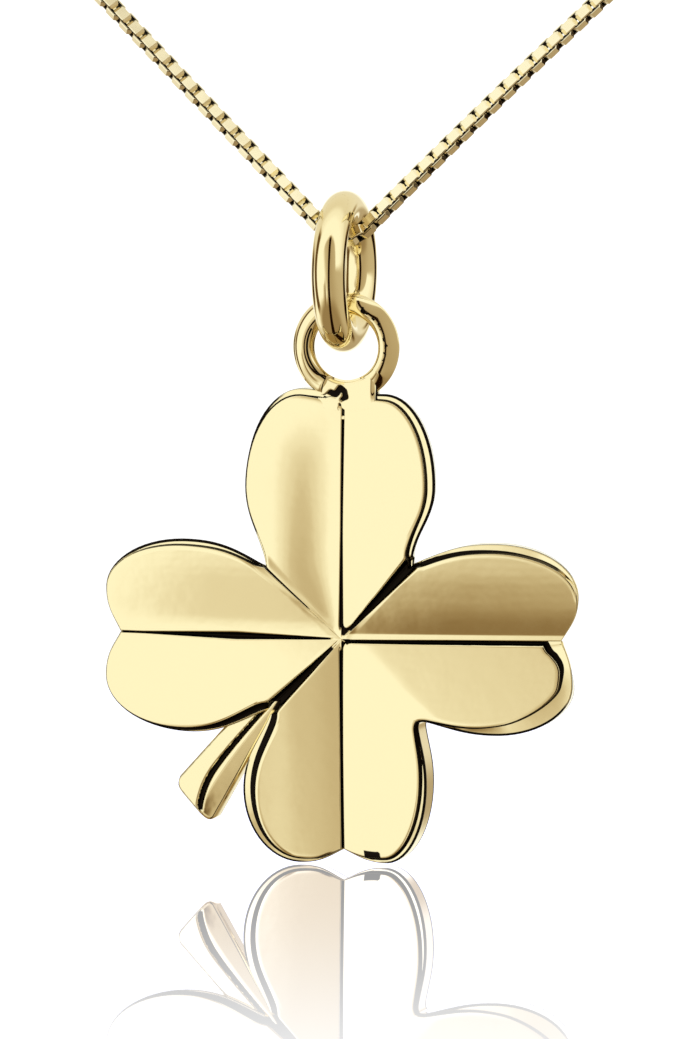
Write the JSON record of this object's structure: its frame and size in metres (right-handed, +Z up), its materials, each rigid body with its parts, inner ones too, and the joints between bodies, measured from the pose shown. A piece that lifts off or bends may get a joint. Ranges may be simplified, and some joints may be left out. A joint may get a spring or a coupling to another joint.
{
  "type": "four leaf clover pendant on a chain",
  "caption": "Gold clover pendant with veined, valleyed leaves, a short stem and an eyelet, hung by a jump ring on a fine box chain.",
  "frame": {"origin": "the nape of the neck, where the closed necklace rests on its wearer: the middle of the clasp", "axes": "+Z up, -Y towards the wearer's front, where the pendant hangs; X runs along the clasp"},
  "size_m": [0.1116, 0.1152, 0.1117],
  "materials": {
    "polished_gold": "polished",
    "chain_gold": "polished"
  },
  "bodies": {
    "necklace": {"chain": "chain_gold", "clasp": "chain_gold"},
    "jump_ring": {"bail": "polished_gold"},
    "pendant": {"clover": "polished_gold"}
  },
  "joints": [
    {"name": "bail_swing", "type": "hinge", "parent": "necklace", "child": "jump_ring", "pos_m": [0, -0.11093, -0.08665], "axis": [1, 0, 0], "range_deg": [-80, 80]},
    {"name": "clover_swing", "type": "hinge", "parent": "jump_ring", "child": "pendant", "pos_m": [0, -0.11093, -0.09037], "axis": [0, 1, 0], "range_deg": [-75, 75]}
  ]
}
